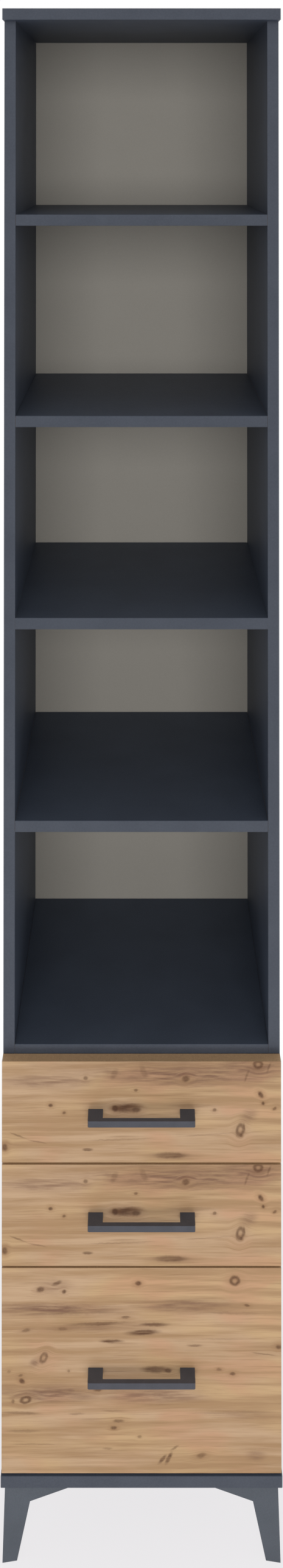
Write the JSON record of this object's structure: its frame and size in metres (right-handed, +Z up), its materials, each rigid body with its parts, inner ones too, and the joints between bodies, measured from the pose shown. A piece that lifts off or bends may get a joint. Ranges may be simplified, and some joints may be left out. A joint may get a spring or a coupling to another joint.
{
  "type": "bookcase with bottom drawers",
  "caption": "Tall narrow open bookcase in anthracite board on corner legs, with knotty-pine-decor drawers on roller runners below and bar handles.",
  "frame": {"origin": "on the floor, under the middle of the bounding box", "axes": "+Z up, the drawer fronts face -Y, +X to the right of someone facing them"},
  "size_m": [0.392, 0.421, 2.16],
  "materials": {
    "anthracite_melamine": "satin melamine facing on chipboard",
    "pine_decor": "matt printed knotty pine decor facing",
    "grey_fibreboard": "warm grey lacquered fibreboard",
    "drawer_board": "satin anthracite facing on thin chipboard",
    "beech": "raw fluted beech",
    "handle_lacquer": "satin anthracite lacquer on die-cast zinc",
    "zinc_plate": "bright zinc plate",
    "runner_enamel": "light grey epoxy powder coat",
    "roller_nylon": "moulded natural nylon",
    "leg_plastic": "moulded anthracite plastic"
  },
  "bodies": {
    "carcass": {"bottom_panel": "anthracite_melamine", "top_panel": "anthracite_melamine", "left_side_panel": "anthracite_melamine", "right_side_panel": "anthracite_melamine", "drawer_deck": "anthracite_melamine", "shelf_4": "anthracite_melamine", "shelf_3": "anthracite_melamine", "shelf_2": "anthracite_melamine", "shelf_1": "anthracite_melamine", "back_panel": "grey_fibreboard", "carcass_dowels": "beech", "front_left_leg": "leg_plastic", "front_right_leg": "leg_plastic", "rear_left_leg": "leg_plastic", "rear_right_leg": "leg_plastic", "drawer_3_left_cabinet_rail": "runner_enamel", "drawer_3_right_cabinet_rail": "runner_enamel", "drawer_2_left_cabinet_rail": "runner_enamel", "drawer_2_right_cabinet_rail": "runner_enamel", "drawer_1_left_cabinet_rail": "runner_enamel", "drawer_1_right_cabinet_rail": "runner_enamel"},
    "drawer_1": {"drawer_1_front": "pine_decor", "drawer_1_left_side": "drawer_board", "drawer_1_right_side": "drawer_board", "drawer_1_back": "drawer_board", "drawer_1_bottom": "grey_fibreboard", "drawer_1_handle": "handle_lacquer", "drawer_1_handle_screws": "zinc_plate", "drawer_1_left_drawer_rail": "runner_enamel", "drawer_1_right_drawer_rail": "runner_enamel"},
    "drawer_2": {"drawer_2_front": "pine_decor", "drawer_2_left_side": "drawer_board", "drawer_2_right_side": "drawer_board", "drawer_2_back": "drawer_board", "drawer_2_bottom": "grey_fibreboard", "drawer_2_handle": "handle_lacquer", "drawer_2_handle_screws": "zinc_plate", "drawer_2_left_drawer_rail": "runner_enamel", "drawer_2_right_drawer_rail": "runner_enamel"},
    "drawer_3": {"drawer_3_front": "pine_decor", "drawer_3_left_side": "drawer_board", "drawer_3_right_side": "drawer_board", "drawer_3_back": "drawer_board", "drawer_3_bottom": "grey_fibreboard", "drawer_3_handle": "handle_lacquer", "drawer_3_handle_screws": "zinc_plate", "drawer_3_left_drawer_rail": "runner_enamel", "drawer_3_right_drawer_rail": "runner_enamel"},
    "drawer_3_front_rollers_pair": {"drawer_3_front_rollers": "roller_nylon"},
    "drawer_3_rear_rollers_pair": {"drawer_3_rear_rollers": "roller_nylon"},
    "drawer_2_front_rollers_pair": {"drawer_2_front_rollers": "roller_nylon"},
    "drawer_2_rear_rollers_pair": {"drawer_2_rear_rollers": "roller_nylon"},
    "drawer_1_front_rollers_pair": {"drawer_1_front_rollers": "roller_nylon"},
    "drawer_1_rear_rollers_pair": {"drawer_1_rear_rollers": "roller_nylon"}
  },
  "joints": [
    {"name": "drawer_1_slide", "type": "slide", "parent": "carcass", "child": "drawer_1", "axis": [0, -1, 0], "range_m": [0, 0.26]},
    {"name": "drawer_1_front_roller_spin", "type": "hinge", "parent": "carcass", "child": "drawer_1_front_rollers_pair", "pos_m": [0, -0.1475, 0.5765], "axis": [1, 0, 0], "range_deg": [0, 1495]},
    {"name": "drawer_1_rear_roller_spin", "type": "hinge", "parent": "drawer_1", "child": "drawer_1_rear_rollers_pair", "pos_m": [0, 0.1675, 0.5774], "axis": [1, 0, 0], "range_deg": [0, 1372]},
    {"name": "drawer_2_slide", "type": "slide", "parent": "carcass", "child": "drawer_2", "axis": [0, -1, 0], "range_m": [0, 0.26]},
    {"name": "drawer_2_front_roller_spin", "type": "hinge", "parent": "carcass", "child": "drawer_2_front_rollers_pair", "pos_m": [0, -0.1475, 0.4335], "axis": [1, 0, 0], "range_deg": [0, 1495]},
    {"name": "drawer_2_rear_roller_spin", "type": "hinge", "parent": "drawer_2", "child": "drawer_2_rear_rollers_pair", "pos_m": [0, 0.1675, 0.4344], "axis": [1, 0, 0], "range_deg": [0, 1372]},
    {"name": "drawer_3_slide", "type": "slide", "parent": "carcass", "child": "drawer_3", "axis": [0, -1, 0], "range_m": [0, 0.26]},
    {"name": "drawer_3_front_roller_spin", "type": "hinge", "parent": "carcass", "child": "drawer_3_front_rollers_pair", "pos_m": [0, -0.1475, 0.1475], "axis": [1, 0, 0], "range_deg": [0, 1495]},
    {"name": "drawer_3_rear_roller_spin", "type": "hinge", "parent": "drawer_3", "child": "drawer_3_rear_rollers_pair", "pos_m": [0, 0.1675, 0.1484], "axis": [1, 0, 0], "range_deg": [0, 1372]}
  ],
  "couplings": [
    {"joint": "drawer_1_front_roller_spin", "follows": "drawer_1_slide", "rad_per_m": 100},
    {"joint": "drawer_1_rear_roller_spin", "follows": "drawer_1_slide", "rad_per_m": 91.743},
    {"joint": "drawer_2_front_roller_spin", "follows": "drawer_2_slide", "rad_per_m": 100},
    {"joint": "drawer_2_rear_roller_spin", "follows": "drawer_2_slide", "rad_per_m": 91.743},
    {"joint": "drawer_3_front_roller_spin", "follows": "drawer_3_slide", "rad_per_m": 100},
    {"joint": "drawer_3_rear_roller_spin", "follows": "drawer_3_slide", "rad_per_m": 91.743}
  ]
}
